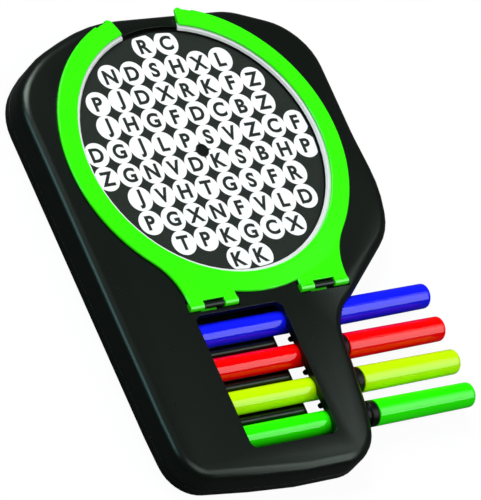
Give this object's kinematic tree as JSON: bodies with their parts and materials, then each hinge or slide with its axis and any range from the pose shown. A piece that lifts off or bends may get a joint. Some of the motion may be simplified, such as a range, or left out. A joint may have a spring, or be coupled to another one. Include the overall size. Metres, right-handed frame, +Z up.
{
  "type": "travel word search game",
  "caption": "Flat black plastic game case with a hinged green ring over a round letter card and colour pens stored side by side under a window.",
  "frame": {"origin": "on the letter cards' axis at the underside of the case", "axes": "+X to the right, the way the pens come out; +Y along the case, away from the pens; +Z up, out of the letter card"},
  "size_m": [0.1394, 0.1896, 0.0152],
  "materials": {
    "case_black": "injection moulded, satin, finely grained on the flat faces",
    "ring_green": "injection moulded, semi gloss",
    "liner_white": "semi gloss",
    "clear": "clear moulded plastic, polished",
    "letter_card": "coated board, printed",
    "steel": "zinc plated",
    "grip_black": "satin",
    "felt": "pressed fibre",
    "pen_blue": "gloss",
    "nib_blue": "pressed fibre soaked with ink",
    "pen_red": "gloss",
    "nib_red": "pressed fibre soaked with ink",
    "pen_yellow": "gloss",
    "nib_yellow": "pressed fibre soaked with ink",
    "pen_green": "gloss",
    "nib_green": "pressed fibre soaked with ink"
  },
  "bodies": {
    "case": {"top_shell": "case_black", "base_shell": "case_black", "case_screw_1": "steel", "case_screw_2": "steel", "case_screw_3": "steel", "case_screw_4": "steel", "case_screw_5": "steel", "case_screw_6": "steel"},
    "ring": {"ring_frame": "ring_green", "ring_liner": "liner_white", "clear_disc": "clear", "hinge_pin_left": "steel", "hinge_pin_right": "steel"},
    "card_top": {"letter_card": "letter_card"},
    "card_spare_1": {"spare_card_1": "letter_card"},
    "card_spare_2": {"spare_card_2": "letter_card"},
    "card_spare_3": {"spare_card_3": "letter_card"},
    "pen_blue": {"barrel_blue": "pen_blue", "grip_blue": "grip_black", "reservoir_blue": "felt", "nib_blue": "nib_blue"},
    "pen_cap_blue": {"cap_blue": "pen_blue"},
    "pen_red": {"barrel_red": "pen_red", "grip_red": "grip_black", "reservoir_red": "felt", "nib_red": "nib_red"},
    "pen_cap_red": {"cap_red": "pen_red"},
    "pen_yellow": {"barrel_yellow": "pen_yellow", "grip_yellow": "grip_black", "reservoir_yellow": "felt", "nib_yellow": "nib_yellow"},
    "pen_cap_yellow": {"cap_yellow": "pen_yellow"},
    "pen_green": {"barrel_green": "pen_green", "grip_green": "grip_black", "reservoir_green": "felt", "nib_green": "nib_green"},
    "pen_cap_green": {"cap_green": "pen_green"}
  },
  "joints": [
    {"name": "ring_hinge", "type": "hinge", "parent": "case", "child": "ring", "pos_m": [0, -0.06105, 0.013], "axis": [1, 0, 0], "range_deg": [0, 120]},
    {"name": "card_turn", "type": "hinge", "parent": "case", "child": "card_top", "pos_m": [0, 0, 0.0123], "axis": [0, 0, 1], "continuous": true},
    {"name": "spare_turn_1", "type": "hinge", "parent": "case", "child": "card_spare_1", "pos_m": [0, 0, 0.0123], "axis": [0, 0, 1], "continuous": true},
    {"name": "spare_turn_2", "type": "hinge", "parent": "case", "child": "card_spare_2", "pos_m": [0, 0, 0.0123], "axis": [0, 0, 1], "continuous": true},
    {"name": "spare_turn_3", "type": "hinge", "parent": "case", "child": "card_spare_3", "pos_m": [0, 0, 0.0123], "axis": [0, 0, 1], "continuous": true},
    {"name": "pen_slide_blue", "type": "slide", "parent": "case", "child": "pen_blue", "axis": [1, 0, 0], "range_m": [0, 0.085]},
    {"name": "cap_pull_blue", "type": "slide", "parent": "pen_blue", "child": "pen_cap_blue", "axis": [1, 0, 0], "range_m": [0, 0.03]},
    {"name": "pen_slide_red", "type": "slide", "parent": "case", "child": "pen_red", "axis": [1, 0, 0], "range_m": [0, 0.085]},
    {"name": "cap_pull_red", "type": "slide", "parent": "pen_red", "child": "pen_cap_red", "axis": [1, 0, 0], "range_m": [0, 0.03]},
    {"name": "pen_slide_yellow", "type": "slide", "parent": "case", "child": "pen_yellow", "axis": [1, 0, 0], "range_m": [0, 0.085]},
    {"name": "cap_pull_yellow", "type": "slide", "parent": "pen_yellow", "child": "pen_cap_yellow", "axis": [1, 0, 0], "range_m": [0, 0.03]},
    {"name": "pen_slide_green", "type": "slide", "parent": "case", "child": "pen_green", "axis": [1, 0, 0], "range_m": [0, 0.085]},
    {"name": "cap_pull_green", "type": "slide", "parent": "pen_green", "child": "pen_cap_green", "axis": [1, 0, 0], "range_m": [0, 0.03]}
  ]
}
